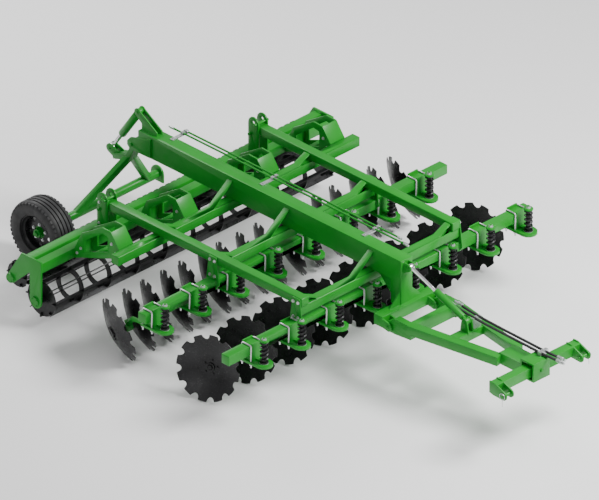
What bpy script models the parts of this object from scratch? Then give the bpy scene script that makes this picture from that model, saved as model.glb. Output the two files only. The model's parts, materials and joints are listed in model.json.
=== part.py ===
"""Disc harrow: a towed frame with two rows of eight notched discs, a double rear
roller, one transport wheel lifted by a cylinder, and a drawbar with a cross shaft.

Metres, +Z up. X runs across the machine and the hitch is at -Y. Shapes are modelled
with y = 0 at the middle of the front cross tube, and one empty carries them all, so
that the middle of the whole machine's footprint is the origin."""

import math

import bmesh
import bpy
from mathutils import Matrix, Vector

# Fits
GAP = 0.0003
PIN_PLAY = 0.0002
ROUND_SIDES = 12
COARSE_SIDES = 8
HINGE_PLAY = 0.005

# Square tubes of the frame
TUBE = 0.080
TUBE_TOP = 0.750
FRONT_Y = 0.0
MIDDLE_Y = 0.889
REAR_Y = 1.490
RAIL_X = 0.800
RAIL_HEIGHT = 0.070
RAIL_FRONT = -0.050
RAIL_REAR = 2.050
REAR_TUBE_HALF = 1.280
BRACE_WIDTH = 0.060
BRACE_THICK = 0.014
BRACE_RUN = 0.200
RAIL_BRACE_RUN = 0.130

# Spine beam and its front post
SPINE_HALF = 0.060
SPINE_HEIGHT = 0.190
SPINE_FRONT = -0.323
SPINE_REAR = 2.463
POST_DEPTH = 0.106
HITCH_BEAM = 0.090
HITCH_BEAM_HALF = 0.290
HITCH_BEAM_Y = -0.310
HITCH_BEAM_TOP = 0.567

# Drawbar, hinged on the ears of the hitch beam
HINGE_Y = -0.412
HINGE_Z = 0.502
HINGE_PIN = 0.0125
HINGE_NOSE = 0.045
LUG_X = 0.240
LUG_WIDTH = 0.060
EAR_THICK = 0.015
DRAWBAR_TOP = 0.588
DRAWBAR_BEAM = 0.076
DRAWBAR_REAR = -0.633
NECK_REAR = -1.410
NECK_HALF = 0.0875
HEAD_FRONT = -1.754
HEAD_REAR = -1.615
HEAD_BOTTOM = 0.486
HEAD_TOP = 0.642
HEAD_WALL = 0.015

# Cross shaft in the drawbar's head
SHAFT = 0.080
SHAFT_Y = -1.685
SHAFT_Z = 0.562
SHAFT_HALF = 0.437
SHAFT_PIN = 0.016
CLEVIS_THICK = 0.012
CLEVIS_WIDTH = 0.073
CLEVIS_PIN = 0.014
CLEVIS_PIN_Y = -1.791
CLEVIS_PIN_Z = 0.533
CLEVIS_NOSE = 0.036

# Levelling link between the post and the drawbar
LEVEL_TOP_Y = -0.365
LEVEL_TOP_Z = 0.888
LEVEL_LOW_Y = -0.962
LEVEL_LOW_Z = 0.664
LEVEL_BARREL = 0.028
LEVEL_ROD = 0.014
LEVEL_BARREL_LENGTH = 0.350
LEVEL_ROD_LENGTH = 0.480
LINK_EYE = 0.030
LINK_PIN = 0.011
LINK_EYE_WIDTH = 0.034
LINK_LUG_THICK = 0.012

# Disc bars and the pieces on them
BAR_HALF = 1.600
BAR_Y = (0.0, 0.884)
BAR_TOP = 0.627
HANGER_THICK = 0.012
HANGER_HALF = 0.070
HANGER_TOP = 0.815
DISC_COUNT = 8
DISC_SPACING = 0.400
FIRST_SPRING_X = -1.317
SPRING_AHEAD = 0.130
SPRING_RADIUS = 0.034
SPRING_TOP = 0.695
SHELF_Z = 0.480
SHELF_THICK = 0.020
SHELF_HALF = 0.070
SHELF_REACH = 0.200
CLAMP_THICK = 0.012
CLAMP_HALF = 0.050
BOLT_RADIUS = 0.010

# Discs: dished, notched, swept in plan and tilted
DISC_RADIUS = 0.260
DISC_THICK = 0.006
DISC_DISH = 0.055
DISC_FLAT = 0.090
DISC_NOTCHES = 12
NOTCH_DEPTH = 0.034
DISC_SWEEP = math.radians(20)
DISC_TILT = math.radians(15)
DISC_BACK = 0.411
DISC_ASIDE = 0.056
FLANGE_RADIUS = 0.040
FLANGE_DEPTH = 0.012
HOUSING_RADIUS = 0.046
HOUSING_DEPTH = 0.056
PAIR_SPACING = 0.170
PAIR_BOSS = 0.028
PAIR_AXLE = 0.016
ARM_RADIUS = 0.022

# Rear roller unit
ROLLER_TUBE_HALF = 1.536
ROLLER_TUBE_TOP = 0.570
ROLLER_TUBE_Y = (2.044, 2.155)
END_ARM_THICK = 0.016
END_ARM_FRONT = 2.000
END_ARM_REAR = 2.120
END_ARM_FOOT = 0.175
ROLLER_HALF = 1.500
FRONT_ROLLER_Y = 2.060
FRONT_ROLLER_Z = 0.232
FRONT_ROLLER_RADIUS = 0.155
FRONT_RING_HOLE = 0.100
REAR_ROLLER_Y = 2.320
REAR_ROLLER_Z = 0.333
REAR_ROLLER_RADIUS = 0.108
REAR_RING_HOLE = 0.060
RING_COUNT = 8
REAR_RING_COUNT = 6
RING_THICK = 0.008
CAGE_BARS = 8
REAR_CAGE_BARS = 6
CAGE_BAR_DEPTH = 0.030
CAGE_BAR_THICK = 0.010
AXLE_STUB = 0.020
BRACKET_X = (-1.120, -0.430, 0.430, 1.120)
BRACKET_HALF = 0.075
BRACKET_WALL = 0.014
ADJUSTER_TOP = 0.890
ADJUSTER_FRONT = 1.995
ADJUSTER_REAR = 2.105
ADJUSTER_THICK = 0.012
ADJUSTER_PIN = 0.012

# Transport wheel and its lifting frame
WHEEL_X = -0.800
WHEEL_Y = 2.730
WHEEL_RADIUS = 0.267
TYRE_WIDTH = 0.205
RIM_RADIUS = 0.155
SPINDLE = 0.020
AXLE_TUBE = 0.035
AXLE_END = 0.420
PIVOT_Y = 2.520
PIVOT_Z = 0.800
PIVOT_TUBE = 0.034
PIVOT_HALF = 0.054
PIVOT_PIN = 0.015
PIVOT_LUG_THICK = 0.015
LEG_X = (-0.450, 0.300)
LEG_TUBE = 0.050
HORN_Y = 2.795
HORN_Z = 0.640
CYLINDER_Y = 2.502
CYLINDER_Z = 1.067
LIFT_BARREL = 0.032
LIFT_ROD = 0.016
LIFT_BARREL_LENGTH = 0.330
LIFT_ROD_LENGTH = 0.340
OPEN_EYE_PLAY = 0.010
OPEN_EYE = 0.036

# Pipes on the spine and hoses on the drawbar
PIPE_RADIUS = 0.008
PIPE_X = (0.132, 0.170)
PIPE_FRONT = -0.175
PIPE_REAR = 2.290
PIPE_CLIPS = (0.150, 1.230, 2.180)
HOSE_RADIUS = 0.011
HOSE_X = (0.062, 0.104)
HOSE_REAR = -0.700
HOSE_FRONT = -1.930

GREEN = (0.048, 0.533, 0.072, 1.0)
BLACK = (0.012, 0.012, 0.013, 1.0)
RUBBER = (0.018, 0.018, 0.019, 1.0)
STEEL = (0.62, 0.63, 0.64, 1.0)

for leftover in list(bpy.data.objects):
    bpy.data.objects.remove(leftover, do_unlink=True)

harrow = bpy.data.collections.new("disc_harrow")
helpers = bpy.data.collections.new("helpers")
for collection in (harrow, helpers):
    bpy.context.scene.collection.children.link(collection)
helpers.hide_render = True

origin_y = (WHEEL_Y + WHEEL_RADIUS + HOSE_FRONT) / 2
carrier = bpy.data.objects.new("harrow_origin", None)
carrier.location = (0, -origin_y, 0)
harrow.objects.link(carrier)


# Building shapes


def helper(mesh):
    obj = bpy.data.objects.new("shape", mesh)
    obj.display_type = "WIRE"
    obj.hide_render = True
    helpers.objects.link(obj)
    return obj


def from_bmesh(body):
    mesh = bpy.data.meshes.new("shape")
    body.to_mesh(mesh)
    body.free()
    return helper(mesh)


def box(x, y, z):
    """A block between two limits on each axis."""
    body = bmesh.new()
    bmesh.ops.create_cube(body, size=1)
    limits = (x, y, z)
    bmesh.ops.scale(body, vec=[high - low for low, high in limits], verts=body.verts)
    bmesh.ops.translate(body, vec=[(low + high) / 2 for low, high in limits], verts=body.verts)
    return from_bmesh(body)


def between(start, end, track):
    """The placing of a shape centred on a line, with its own axis along it."""
    start, end = Vector(start), Vector(end)
    turn = (end - start).to_track_quat(track, "Z" if track == "Y" else "Y")
    return Matrix.Translation((start + end) / 2) @ turn.to_matrix().to_4x4()


def rod(start, end, radius, sides=ROUND_SIDES):
    """A round bar from one point to another."""
    body = bmesh.new()
    bmesh.ops.create_cone(
        body,
        cap_ends=True,
        segments=sides,
        radius1=radius,
        radius2=radius,
        depth=(Vector(end) - Vector(start)).length,
        matrix=between(start, end, "Z"),
    )
    return from_bmesh(body)


def pin(y, z, radius, x):
    """A round bar across the machine."""
    return rod((x[0], y, z), (x[1], y, z), radius)


def bore(radius):
    """The corner radius of a hole whose flats clear a pin of this radius."""
    return (radius + PIN_PLAY) / math.cos(math.pi / ROUND_SIDES)


def beam(start, end, width, height):
    """A rectangular bar from one point to another, its width level."""
    body = bmesh.new()
    bmesh.ops.create_cube(body, size=1)
    length = (Vector(end) - Vector(start)).length
    bmesh.ops.scale(body, vec=(width, length, height), verts=body.verts)
    body.transform(between(start, end, "Y"))
    return from_bmesh(body)


def mesh_of(obj):
    """The object's evaluated mesh, with loose caps welded."""
    bpy.context.view_layer.update()
    graph = bpy.context.evaluated_depsgraph_get()
    mesh = bpy.data.meshes.new_from_object(obj.evaluated_get(graph))
    mesh.transform(obj.matrix_world)
    body = bmesh.new()
    body.from_mesh(mesh)
    bmesh.ops.remove_doubles(body, verts=body.verts, dist=1e-6)
    bmesh.ops.recalc_face_normals(body, faces=body.faces)
    body.to_mesh(mesh)
    body.free()
    bpy.data.objects.remove(obj, do_unlink=True)
    return mesh


def curve_piece(points, cyclic, settings):
    data = bpy.data.curves.new("outline", "CURVE")
    for name, value in settings.items():
        setattr(data, name, value)
    spline = data.splines.new("POLY")
    spline.points.add(len(points) - 1)
    for point, place in zip(spline.points, points):
        point.co = (*place, 1)
    spline.use_cyclic_u = cyclic
    obj = bpy.data.objects.new("outline", data)
    helpers.objects.link(obj)
    return obj


ACROSS = Matrix(((0, 0, 1, 0), (1, 0, 0, 0), (0, 1, 0, 0), (0, 0, 0, 1)))
ALONG = Matrix.Rotation(math.pi / 2, 4, "X")


def plate(outline, low, high, facing=ACROSS):
    """A flat outline given thickness: (y, z) points between two x limits, or with
    ALONG (x, z) points between two y limits."""
    settings = {"dimensions": "2D", "fill_mode": "BOTH", "extrude": (high - low) / 2}
    flat = curve_piece([(a, b, 0) for a, b in outline], True, settings)
    middle = (low + high) / 2
    shift = (middle, 0, 0) if facing is ACROSS else (0, middle, 0)
    flat.matrix_world = Matrix.Translation(shift) @ facing
    return helper(mesh_of(flat))


def bent_tube(points, radius, resolution=1):
    settings = {
        "dimensions": "3D",
        "bevel_depth": radius,
        "bevel_resolution": resolution,
        "use_fill_caps": True,
    }
    return helper(mesh_of(curve_piece(points, False, settings)))


def arc(centre, radius, first, last, steps):
    """Points on an arc, from one angle in degrees to another."""
    angles = [math.radians(first + (last - first) * step / steps) for step in range(steps + 1)]
    return [(centre[0] + radius * math.cos(a), centre[1] + radius * math.sin(a)) for a in angles]


def ring(outline, steps):
    """A closed outline of (radius, height) points, turned about Z."""
    mesh = bpy.data.meshes.new("profile")
    count = len(outline)
    edges = [(i, (i + 1) % count) for i in range(count)]
    mesh.from_pydata([(r, 0, z) for r, z in outline], edges, [])
    obj = bpy.data.objects.new("profile", mesh)
    helpers.objects.link(obj)
    turn = obj.modifiers.new("turn", "SCREW")
    turn.steps = steps
    turn.render_steps = steps
    turn.use_merge_vertices = True
    turn.merge_threshold = 0.0001
    return helper(mesh_of(obj))


def washer(outer, inner, low, high, steps):
    return ring([(outer, high), (outer, low), (inner, low), (inner, high)], steps)


def moved(obj, matrix):
    obj.data.transform(matrix)
    return obj


def facing_x(x, y, z):
    """Turns a shape made about Z so that it runs across the machine at this place."""
    return Matrix.Translation((x, y, z)) @ Matrix.Rotation(math.pi / 2, 4, "Y")


def joined(pieces, cuts=()):
    """One mesh: the pieces united, with the cutters taken out of them."""
    base = pieces[0]
    for operation, others in (("UNION", pieces[1:]), ("DIFFERENCE", cuts)):
        for other in others:
            step = base.modifiers.new(operation, "BOOLEAN")
            step.operation = operation
            step.object = other
    mesh = mesh_of(base)
    for other in (*pieces[1:], *cuts):
        bpy.data.objects.remove(other, do_unlink=True)
    return mesh


def material(name, colour, roughness, metallic):
    made = bpy.data.materials.new(name)
    made.use_nodes = True
    shader = made.node_tree.nodes["Principled BSDF"]
    shader.inputs["Base Color"].default_value = colour
    shader.inputs["Roughness"].default_value = roughness
    shader.inputs["Metallic"].default_value = metallic
    made.diffuse_color = colour
    return made


FINISHES = {
    "paint": (GREEN, 0.35, 0.0),
    "black": (BLACK, 0.40, 0.6),
    "rubber": (RUBBER, 0.80, 0.0),
    "steel": (STEEL, 0.22, 1.0),
}


def add(name, mesh, finish, pivot=(0, 0, 0), matrix=None):
    """A named sub-part. Its mesh is kept about its pivot, which is its origin."""
    if matrix is None:
        mesh.transform(Matrix.Translation(-Vector(pivot)))
        matrix = Matrix.Translation(pivot)
    mesh.name = name
    if not mesh.materials:
        mesh.materials.append(material(name, *FINISHES[finish]))
    mesh.shade_smooth()
    mesh.set_sharp_from_angle(angle=math.radians(32))
    obj = bpy.data.objects.new(name, mesh)
    harrow.objects.link(obj)
    obj.parent = carrier
    obj.matrix_local = matrix
    return obj


# Main frame

rail_top = TUBE_TOP + GAP + RAIL_HEIGHT
rail_outer = RAIL_X + TUBE / 2
rail_inner = RAIL_X - TUBE / 2
spine_bottom = TUBE_TOP + GAP
spine_top = spine_bottom + SPINE_HEIGHT
hitch_beam_bottom = HITCH_BEAM_TOP - HITCH_BEAM
hitch_beam_front = HITCH_BEAM_Y - HITCH_BEAM / 2


def both_sides(make):
    return [make(side) for side in (-1, 1)]


def ordered(a, b):
    return (min(a, b), max(a, b))


def brace(side, foot_x, head_x, head_z, y):
    """A sloping strip from a cross tube's top to the side of a beam."""
    foot_z = TUBE_TOP - BRACE_THICK
    outline = [
        (side * foot_x, foot_z),
        (side * head_x, head_z - BRACE_THICK),
        (side * head_x, head_z),
        (side * (foot_x + (BRACE_THICK if foot_x > head_x else -BRACE_THICK)), foot_z + BRACE_THICK / 2),
    ]
    return plate(outline, y - BRACE_WIDTH / 2, y + BRACE_WIDTH / 2, ALONG)


def cross_tube(name, y, half_length):
    """A cross tube with its braces to the spine and to the side rails."""
    pieces = [box((-half_length, half_length), (y - TUBE / 2, y + TUBE / 2), (TUBE_TOP - TUBE, TUBE_TOP))]
    spine_foot = SPINE_HALF + BRACE_RUN
    rail_foot = rail_inner - RAIL_BRACE_RUN
    pieces += both_sides(lambda side: brace(side, spine_foot, SPINE_HALF + GAP, spine_top - 0.03, y))
    pieces += both_sides(lambda side: brace(side, rail_foot, rail_inner - GAP, rail_top - 0.01, y))
    add(name, joined(pieces), "paint")


def side_rail(name, side):
    x = ordered(side * rail_inner, side * rail_outer)
    rail = box(x, (RAIL_FRONT, RAIL_REAR), (TUBE_TOP + GAP, rail_top))
    add(name, joined([rail]), "paint")


def ear_limits(side, inner):
    """Across limits of one ear beside a drawbar lug."""
    near = LUG_X + (-1 if inner else 1) * (LUG_WIDTH / 2 + HINGE_PLAY)
    far = near + (-1 if inner else 1) * EAR_THICK
    return ordered(side * near, side * far)


def ear(side, inner):
    nose = arc((HINGE_Y, HINGE_Z), HINGE_NOSE * 0.8, 100, 260, 5)
    outline = [(HITCH_BEAM_Y, HITCH_BEAM_TOP - 0.01)] + nose + [(HITCH_BEAM_Y, hitch_beam_bottom + 0.01)]
    return plate(outline, *ear_limits(side, inner))


def link_lug(outline, side, eye_width=LINK_EYE_WIDTH):
    """One of the two plates that a link's eye turns between."""
    near = eye_width / 2 + 0.002
    return plate(outline, *ordered(side * near, side * (near + LINK_LUG_THICK)))


def link_pin(y, z):
    half = LINK_EYE_WIDTH / 2 + LINK_LUG_THICK + 0.008
    return pin(y, z, LINK_PIN, (-half, half))


def spine():
    post_rear = SPINE_FRONT + POST_DEPTH
    beam_middle = spine_bottom + 0.05
    across = (-SPINE_HALF, SPINE_HALF)
    pieces = [
        box(across, (SPINE_FRONT, SPINE_REAR), (spine_bottom, spine_top)),
        box(across, (SPINE_FRONT, post_rear), (HITCH_BEAM_TOP - 0.02, beam_middle)),
        box(
            (-HITCH_BEAM_HALF, HITCH_BEAM_HALF),
            (hitch_beam_front, hitch_beam_front + HITCH_BEAM),
            (hitch_beam_bottom, HITCH_BEAM_TOP),
        ),
    ]
    gusset = [
        (post_rear - 0.01, HITCH_BEAM_TOP + 0.03),
        (post_rear + 0.14, spine_bottom),
        (post_rear + 0.14, beam_middle),
        (post_rear - 0.01, beam_middle),
    ]
    pieces.append(plate(gusset, -SPINE_HALF + 0.01, SPINE_HALF - 0.01))
    beam_face = (HITCH_BEAM_Y - 0.007, HITCH_BEAM_Y + 0.007)
    for side in (-1, 1):
        foot = [
            (side * (SPINE_HALF - 0.01), HITCH_BEAM_TOP - 0.01),
            (side * (SPINE_HALF + 0.12), HITCH_BEAM_TOP - 0.01),
            (side * (SPINE_HALF - 0.01), HITCH_BEAM_TOP + 0.12),
        ]
        pieces.append(plate(foot, *beam_face, ALONG))
        pieces += [ear(side, True), ear(side, False)]
        outer = LUG_X + LUG_WIDTH / 2 + HINGE_PLAY + EAR_THICK
        inner = LUG_X - LUG_WIDTH / 2 - HINGE_PLAY - EAR_THICK
        pieces.append(pin(HINGE_Y, HINGE_Z, HINGE_PIN, ordered(side * (inner - 0.01), side * (outer + 0.01))))
        top_nose = arc((LEVEL_TOP_Y, LEVEL_TOP_Z), LINK_EYE, 90, 250, 5)
        top_lug = [(SPINE_FRONT + 0.02, LEVEL_TOP_Z + LINK_EYE)] + top_nose
        top_lug += [(SPINE_FRONT + 0.02, LEVEL_TOP_Z - 0.07)]
        pieces.append(link_lug(top_lug, side))
        pivot_nose = [
            (PIVOT_Y - 0.20, PIVOT_Z - 0.04),
            (PIVOT_Y + 0.015, PIVOT_Z - 0.045),
            (PIVOT_Y + 0.045, PIVOT_Z - 0.015),
            (PIVOT_Y + 0.045, PIVOT_Z + 0.02),
            (PIVOT_Y + 0.015, PIVOT_Z + 0.055),
            (PIVOT_Y - 0.20, PIVOT_Z + 0.12),
        ]
        lug_x = ordered(side * (SPINE_HALF - 0.002), side * (SPINE_HALF + PIVOT_LUG_THICK))
        pieces.append(plate(pivot_nose, *lug_x))
        tower = arc((CYLINDER_Y, CYLINDER_Z), 0.032, -40, 150, 6)
        tower += [(SPINE_REAR - 0.17, spine_top + 0.03), (SPINE_REAR - 0.17, spine_top - 0.01)]
        tower += [(SPINE_REAR - 0.01, spine_top - 0.01), (SPINE_REAR - 0.01, spine_top + 0.05)]
        pieces.append(link_lug(tower, side))
    pieces.append(link_pin(LEVEL_TOP_Y, LEVEL_TOP_Z))
    pieces.append(link_pin(CYLINDER_Y, CYLINDER_Z))
    lug_end = SPINE_HALF + PIVOT_LUG_THICK + 0.012
    pieces.append(pin(PIVOT_Y, PIVOT_Z, PIVOT_PIN, (-lug_end, lug_end)))
    add("spine_beam", joined(pieces), "paint")


def disc_bar(name, y):
    """A tool bar with the two hanger plates that bolt it to the side rails."""
    pieces = [box((-BAR_HALF, BAR_HALF), (y - TUBE / 2, y + TUBE / 2), (BAR_TOP - TUBE, BAR_TOP))]
    hanger_low = BAR_TOP - TUBE + 0.005
    for side in (-1, 1):
        x = ordered(side * (rail_outer + GAP), side * (rail_outer + GAP + HANGER_THICK))
        outline = [
            (y - HANGER_HALF, BAR_TOP - TUBE / 2),
            (y - TUBE / 2, hanger_low),
            (y + TUBE / 2, hanger_low),
            (y + HANGER_HALF, BAR_TOP - TUBE / 2),
            (y + TUBE / 2, HANGER_TOP),
            (y - min(TUBE / 2, y - RAIL_FRONT), HANGER_TOP),
        ]
        pieces.append(plate(outline, *x))
    add(name, joined(pieces), "paint")


# Disc units

flange_top = -DISC_DISH
flange_bottom = flange_top - DISC_THICK / 2 - FLANGE_DEPTH


def disc_matrix(side):
    """Placing of a disc whose own Z is its axle, about the middle of its rim. The
    hollow side faces the side given, forwards and up."""
    axle = Vector((
        side * math.cos(DISC_TILT) * math.cos(DISC_SWEEP),
        -math.cos(DISC_TILT) * math.sin(DISC_SWEEP),
        math.sin(DISC_TILT),
    ))
    return axle.to_track_quat("Z", "Y").to_matrix().to_4x4()


def disc_mesh():
    """A dished disc with rounded notches, and its hub flange on the bulging side."""
    body = bmesh.new()
    count = 2 * DISC_NOTCHES
    bmesh.ops.create_circle(body, cap_ends=True, segments=count, radius=DISC_RADIUS)
    rim = list(body.verts)
    bmesh.ops.inset_individual(body, faces=list(body.faces), thickness=DISC_RADIUS - DISC_FLAT)
    for vertex in body.verts:
        if vertex not in rim:
            vertex.co.z = -DISC_DISH
    slope = DISC_DISH / (DISC_RADIUS - DISC_FLAT)
    for number, vertex in enumerate(sorted(rim, key=lambda v: math.atan2(v.co.y, v.co.x))):
        if number % 2 == 0:
            vertex.co *= (DISC_RADIUS - NOTCH_DEPTH) / DISC_RADIUS
            vertex.co.z = -NOTCH_DEPTH * slope
    disc = from_bmesh(body)
    wall = disc.modifiers.new("wall", "SOLIDIFY")
    wall.thickness = DISC_THICK
    wall.offset = 0
    disc = helper(mesh_of(disc))
    flange = rod((0, 0, flange_bottom), (0, 0, flange_top), FLANGE_RADIUS, COARSE_SIDES)
    return joined([disc, flange])


def disc_pair(disc):
    """Two discs on one axle, about the rim of the first. The arm's housing fits
    between the second one's flange and a boss in the first one's hollow."""
    second = moved(helper(disc.copy()), Matrix.Translation((0, 0, PAIR_SPACING)))
    boss_end = PAIR_SPACING + flange_bottom - 2 * GAP - HOUSING_DEPTH
    boss = rod((0, 0, flange_top), (0, 0, boss_end), PAIR_BOSS, COARSE_SIDES)
    axle = rod((0, 0, 0), (0, 0, PAIR_SPACING + flange_top), PAIR_AXLE)
    return joined([helper(disc.copy()), boss, axle, second])


def rim_height(disc):
    """Height of the rim's middle that stands the discs' lowest points on the floor."""
    return -min((disc_matrix(side) @ v.co).z for side in (-1, 1) for v in disc.vertices)


def front_arm_route(low, housing_middle):
    """The arm bows out to the left and comes back to the housing behind its disc."""
    return [
        (0.035, -0.010, low - 0.012),
        (0.060, 0.050, low - 0.020),
        (0.112, 0.160, low - 0.055),
        (0.098, 0.300, low - 0.160),
        tuple(housing_middle),
    ]


def rear_arm_route(low, housing_middle):
    """The arm runs straight back, then down between its two discs."""
    return [
        (0.010, -0.010, low - 0.012),
        (0.000, 0.080, low - 0.020),
        (0.008, 0.210, low - 0.035),
        (0.063, 0.304, low - 0.112),
        tuple(housing_middle),
    ]


def arm_mesh(side, turn, disc_centre_z, pair):
    """The clamp on the bar, the spring shelf and bolt, the arm, and the housing that
    the disc turns on. Its origin is the middle of the bar at the spring."""
    hub = Vector((side * DISC_ASIDE, DISC_BACK, disc_centre_z - (BAR_TOP - TUBE / 2)))
    face = flange_bottom - GAP + (PAIR_SPACING if pair else 0)
    housing_start = hub + turn @ Vector((0, 0, face))
    housing_end = hub + turn @ Vector((0, 0, face - HOUSING_DEPTH))
    housing_middle = (housing_start + housing_end) / 2
    half = TUBE / 2
    low = SHELF_Z - (BAR_TOP - half)
    shelf_front = -SHELF_REACH + SHELF_HALF
    shelf = arc((0, shelf_front), SHELF_HALF, 180, 360, 6)
    shelf += [(SHELF_HALF, half + 0.02), (-SHELF_HALF, half + 0.02)]
    settings = {"dimensions": "2D", "fill_mode": "BOTH", "extrude": SHELF_THICK / 2}
    flat = curve_piece([(x, y, 0) for x, y in shelf], True, settings)
    flat.matrix_world = Matrix.Translation((0, 0, low + SHELF_THICK / 2))
    across = (-CLAMP_HALF, CLAMP_HALF)
    spring_high = SPRING_TOP - (BAR_TOP - half)
    pieces = [
        helper(mesh_of(flat)),
        box(across, (-half - GAP - CLAMP_THICK, -half - GAP), (low + 0.01, half + 0.02)),
        box(across, (half + GAP, half + GAP + CLAMP_THICK), (low + 0.01, half + 0.02)),
        box(across, (-half - GAP - 0.004, half + GAP + 0.004), (low + 0.01, -half - GAP)),
        rod((0, -SPRING_AHEAD, low - 0.02), (0, -SPRING_AHEAD, spring_high + 0.025), BOLT_RADIUS, 6),
        rod((0, -SPRING_AHEAD, spring_high - 0.006), (0, -SPRING_AHEAD, spring_high + 0.004), SPRING_RADIUS, 8),
        bent_tube((rear_arm_route if pair else front_arm_route)(low, housing_middle), ARM_RADIUS, 0),
        rod(housing_start, housing_end, HOUSING_RADIUS, COARSE_SIDES),
    ]
    if not pair:
        return joined(pieces)
    way = housing_end - housing_start
    return joined(pieces, [rod(housing_start - way, housing_end + way, bore(PAIR_AXLE))])


def disc_rows():
    """Eight arms on each bar: one disc on each front arm, and two on each rear arm."""
    shared_disc = disc_mesh()
    disc_centre_z = rim_height(shared_disc)
    shared_pair = disc_pair(shared_disc)
    for row, side, y in (("front", -1, BAR_Y[0]), ("rear", 1, BAR_Y[1])):
        turn = disc_matrix(side)
        pair = side > 0
        shared_arm = arm_mesh(side, turn, disc_centre_z, pair)
        bar_middle = BAR_TOP - TUBE / 2
        for number in range(DISC_COUNT):
            place = FIRST_SPRING_X + DISC_SPACING * number
            spring_x = place if side < 0 else -place
            at_bar = Matrix.Translation((spring_x, y, bar_middle))
            add(f"{row}_disc_arm_{number + 1}", shared_arm, "paint", matrix=at_bar)
            rim_middle = (spring_x + side * DISC_ASIDE, y + DISC_BACK, disc_centre_z)
            at_rim = Matrix.Translation(rim_middle) @ turn
            shape, kind = (shared_pair, "disc_pair") if pair else (shared_disc, "disc")
            add(f"{row}_{kind}_{number + 1}", shape, "black", matrix=at_rim)


# Drawbar, cross shaft and levelling link

hinge_bore = bore(HINGE_PIN)
link_bore = bore(LINK_PIN)


def drawbar():
    """Two converging beams from the hinge lugs to the head that holds the shaft."""
    pieces = []
    cuts = []
    beam_z = DRAWBAR_TOP - DRAWBAR_BEAM / 2
    cross_rear = DRAWBAR_REAR + 0.060
    for side in (-1, 1):
        lug_x = ordered(side * (LUG_X - LUG_WIDTH / 2), side * (LUG_X + LUG_WIDTH / 2))
        nose = arc((HINGE_Y, HINGE_Z), HINGE_NOSE, -90, 90, 6)
        outline = nose + [(HINGE_Y - 0.05, DRAWBAR_TOP), (DRAWBAR_REAR, DRAWBAR_TOP)]
        outline += [(DRAWBAR_REAR, HINGE_Z - 0.03), (HINGE_Y - 0.05, HINGE_Z - HINGE_NOSE)]
        pieces.append(plate(outline, *lug_x))
        cuts.append(pin(HINGE_Y, HINGE_Z, hinge_bore, ordered(side * (LUG_X - 0.05), side * (LUG_X + 0.05))))
        pieces.append(
            beam((side * LUG_X, DRAWBAR_REAR + 0.04, beam_z), (side * 0.10, NECK_REAR, beam_z), 0.075, DRAWBAR_BEAM)
        )
        lug = arc((LEVEL_LOW_Y, LEVEL_LOW_Z), LINK_EYE, 0, 180, 6)
        lug += [(LEVEL_LOW_Y - 0.045, DRAWBAR_TOP - 0.02), (LEVEL_LOW_Y + 0.045, DRAWBAR_TOP - 0.02)]
        pieces.append(link_lug(lug, side))
    tie_half = 0.18
    pieces += [
        box((-LUG_X, LUG_X), (DRAWBAR_REAR + 0.004, cross_rear), (HINGE_Z - 0.02, DRAWBAR_TOP - 0.006)),
        box((-tie_half, tie_half), (LEVEL_LOW_Y - 0.04, LEVEL_LOW_Y + 0.04), (DRAWBAR_TOP - DRAWBAR_BEAM, DRAWBAR_TOP - 0.004)),
        box((0.006 - NECK_HALF, NECK_HALF - 0.006), (HEAD_REAR - 0.01, NECK_REAR + 0.03), (DRAWBAR_TOP - DRAWBAR_BEAM - 0.01, DRAWBAR_TOP + 0.01)),
        box((-NECK_HALF, NECK_HALF), (HEAD_FRONT, HEAD_REAR), (HEAD_BOTTOM, HEAD_TOP)),
    ]
    slot = box(
        (-NECK_HALF - 0.02, NECK_HALF + 0.02),
        (HEAD_FRONT + HEAD_WALL, HEAD_REAR - HEAD_WALL),
        (HEAD_BOTTOM + 0.014, HEAD_TOP - 0.016),
    )
    hollow = joined(pieces, cuts + [slot])
    king_pin = rod((0, HEAD_FRONT - 0.012, SHAFT_Z), (0, HEAD_REAR + 0.01, SHAFT_Z), SHAFT_PIN)
    low_pin = link_pin(LEVEL_LOW_Y, LEVEL_LOW_Z)
    add("drawbar", joined([helper(hollow), king_pin, low_pin]), "paint", (0, HINGE_Y, HINGE_Z))


def cross_shaft():
    """The shaft that carries the lower link pins, in a clevis at each end."""
    shaft_y = (SHAFT_Y - SHAFT / 2, SHAFT_Y + SHAFT / 2)
    shaft_z = (SHAFT_Z - SHAFT / 2, SHAFT_Z + SHAFT / 2)
    outer = SHAFT_HALF + CLEVIS_THICK
    pieces = [box((-SHAFT_HALF - 0.004, SHAFT_HALF + 0.004), shaft_y, shaft_z)]
    for side in (-1, 1):
        nose = arc((CLEVIS_PIN_Y, CLEVIS_PIN_Z), CLEVIS_NOSE, 110, 270, 6)
        outline = nose + [(SHAFT_Y, shaft_z[0] - 0.02), (SHAFT_Y + SHAFT / 2, shaft_z[0] - 0.01)]
        outline += [(SHAFT_Y + SHAFT / 2, shaft_z[1] + 0.008), (SHAFT_Y - 0.01, shaft_z[1] + 0.008)]
        for near in (SHAFT_HALF, SHAFT_HALF - CLEVIS_WIDTH):
            pieces.append(plate(outline, *ordered(side * near, side * (near + CLEVIS_THICK))))
        pin_x = ordered(side * (SHAFT_HALF - CLEVIS_WIDTH - 0.012), side * (outer + 0.014))
        pieces.append(pin(CLEVIS_PIN_Y, CLEVIS_PIN_Z, CLEVIS_PIN, pin_x))
    hole = rod((0, shaft_y[0] - 0.02, SHAFT_Z), (0, shaft_y[1] + 0.02, SHAFT_Z), bore(SHAFT_PIN))
    add("hitch_cross_shaft", joined(pieces, [hole]), "paint", (0, SHAFT_Y, SHAFT_Z))


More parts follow.
